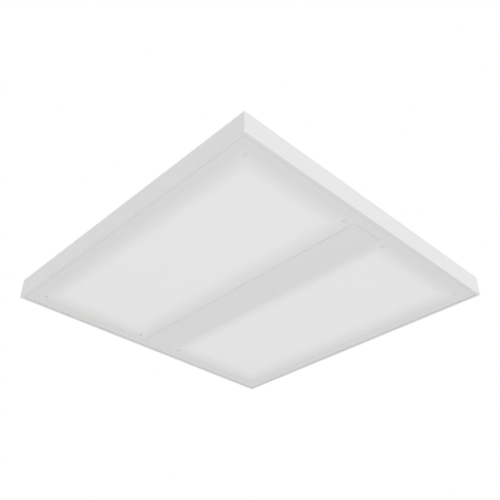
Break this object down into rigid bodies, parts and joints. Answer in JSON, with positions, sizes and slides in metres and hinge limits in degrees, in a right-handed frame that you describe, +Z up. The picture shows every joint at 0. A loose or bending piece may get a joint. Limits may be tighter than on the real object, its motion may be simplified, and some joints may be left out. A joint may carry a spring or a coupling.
{
  "type": "recessed troffer light",
  "caption": "Square recessed ceiling light with a flat rim, two shallow opal lenses beside a plain spine, a hinged lens door and swing-out clips for the ceiling grid.",
  "frame": {"origin": "centre of the rim's lower face, in the plane that rests on the ceiling tees", "axes": "+Z up into the ceiling; Y along the spine; the door hinges are on the +X side"},
  "size_m": [0.595, 0.595, 0.0431],
  "materials": {
    "white_paint": "white polyester powder coat, low sheen",
    "reflector_white": "high reflectance white paint, matt",
    "zinc_steel": "galvanised sheet steel",
    "cast_zinc": "die-cast zinc alloy, raw",
    "plated_steel": "bright zinc plated steel",
    "brass": "brass, bright",
    "black_rubber": "soft black rubber",
    "white_nylon": "white polyamide",
    "grey_nylon": "light grey polyamide",
    "board_laminate": "white solder mask on laminate",
    "led_phosphor": "yellow phosphor in white package",
    "wire_brown": "brown insulation",
    "wire_green": "green and yellow insulation",
    "wire_grey": "grey insulation",
    "opal_lens": "opal acrylic, satin, lit evenly from behind"
  },
  "bodies": {
    "housing": {"side_rail_1": "white_paint", "side_rail_2": "white_paint", "side_rail_3": "white_paint", "side_rail_4": "white_paint", "frame_corner_brackets": "cast_zinc", "frame_grub_screws": "plated_steel", "back_plate": "zinc_steel", "back_plate_screws": "plated_steel", "wiring_cover": "zinc_steel", "wiring_cover_screws": "plated_steel", "cable_grommet": "black_rubber", "mains_terminal": "white_nylon", "earth_stud": "brass", "reflector_left": "reflector_white", "reflector_right": "reflector_white", "led_board_1": "board_laminate", "led_board_2": "board_laminate", "led_board_3": "board_laminate", "led_board_4": "board_laminate", "led_chips_left": "led_phosphor", "led_chips_right": "led_phosphor", "board_connectors": "white_nylon", "led_board_screws": "plated_steel", "driver_base": "zinc_steel", "driver_cover": "zinc_steel", "driver_screws": "plated_steel", "mains_wires": "wire_brown", "earth_wire": "wire_green", "output_wire_left": "wire_grey", "output_wire_right": "wire_grey", "link_wire_left": "wire_grey", "link_wire_right": "wire_grey", "hinge_bracket_1": "plated_steel", "hinge_bracket_2": "plated_steel", "spring_catch_1": "plated_steel", "spring_catch_2": "plated_steel", "bracket_screws": "plated_steel", "clip_rivets": "plated_steel"},
    "door": {"door_rail_1": "white_paint", "door_rail_2": "white_paint", "door_rail_3": "white_paint", "door_rail_4": "white_paint", "door_corner_gusset_1": "zinc_steel", "door_corner_gusset_2": "zinc_steel", "door_corner_gusset_3": "zinc_steel", "door_corner_gusset_4": "zinc_steel", "spine_cover": "white_paint", "spine_end_plate_1": "zinc_steel", "spine_end_plate_2": "zinc_steel", "lens_left": "opal_lens", "lens_right": "opal_lens", "lens_rivets": "grey_nylon", "hinge_leaf_1": "zinc_steel", "hinge_leaf_2": "zinc_steel", "hinge_pins": "plated_steel", "ball_strikers": "plated_steel"},
    "clip_1": {"tee_clip_1": "zinc_steel"},
    "clip_2": {"tee_clip_2": "zinc_steel"},
    "clip_3": {"tee_clip_3": "zinc_steel"},
    "clip_4": {"tee_clip_4": "zinc_steel"}
  },
  "joints": [
    {"name": "door_hinge", "type": "hinge", "parent": "housing", "child": "door", "pos_m": [0.282, 0, 0.0055], "axis": [0, -1, 0], "range_deg": [0, 90]},
    {"name": "clip_swing_1", "type": "hinge", "parent": "housing", "child": "clip_1", "pos_m": [0.262, 0.25, 0.0395], "axis": [0, 0, 1], "range_deg": [0, 90]},
    {"name": "clip_swing_2", "type": "hinge", "parent": "housing", "child": "clip_2", "pos_m": [-0.262, 0.25, 0.0395], "axis": [0, 0, -1], "range_deg": [0, 90]},
    {"name": "clip_swing_3", "type": "hinge", "parent": "housing", "child": "clip_3", "pos_m": [-0.262, -0.25, 0.0395], "axis": [0, 0, 1], "range_deg": [0, 90]},
    {"name": "clip_swing_4", "type": "hinge", "parent": "housing", "child": "clip_4", "pos_m": [0.262, -0.25, 0.0395], "axis": [0, 0, -1], "range_deg": [0, 90]}
  ]
}
